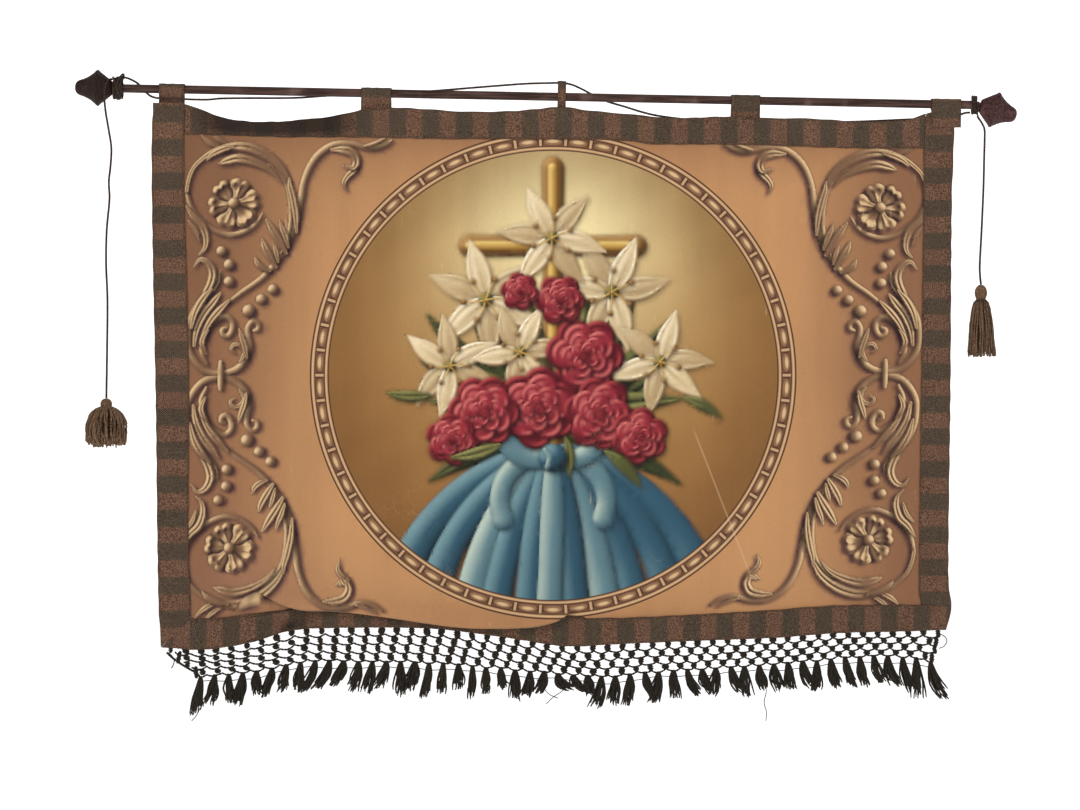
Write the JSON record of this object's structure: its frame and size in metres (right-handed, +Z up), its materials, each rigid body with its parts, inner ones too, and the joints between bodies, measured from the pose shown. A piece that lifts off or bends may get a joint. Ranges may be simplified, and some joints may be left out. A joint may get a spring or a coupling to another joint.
{
  "type": "church banner with hanging rod",
  "caption": "Antique church banner of printed cloth with striped galloon edges, knotted net fringe, cords and tassels, hanging by tabs from its turned wooden rod.",
  "frame": {"origin": "middle of the rod's axis, where the banner is held up", "axes": "+Z up, +X to the right along the rod as seen from the printed face, +Y away from the person who looks at it"},
  "size_m": [1.3654, 0.0588, 0.9384],
  "materials": {
    "rod_wood": "worn dark varnish",
    "dark_wood": "dark turned wood",
    "red_wood": "reddish dark turned wood",
    "printed_cloth": "faded printed cloth",
    "galloon": "striped woven galloon",
    "net_yarn": "dark olive yarn",
    "cord_yarn": "twisted cord",
    "tassel_yarn": "brown yarn"
  },
  "bodies": {
    "root": {"rod": "rod_wood", "finial_left": "dark_wood", "finial_right": "red_wood", "wrap_left": "cord_yarn", "wrap_right": "cord_yarn", "panel": "printed_cloth", "band_top": "galloon", "band_left": "galloon", "band_right": "galloon", "band_bottom": "galloon", "tab_far_left": "galloon", "tab_left": "galloon", "loop_centre": "galloon", "tab_right": "galloon", "tab_far_right": "galloon", "net_fringe": "net_yarn", "hanging_cord": "cord_yarn", "tassel_cord_left": "cord_yarn", "tassel_cord_right": "cord_yarn", "tassel_left": "tassel_yarn", "tassel_right": "tassel_yarn"}
  },
  "joints": []
}
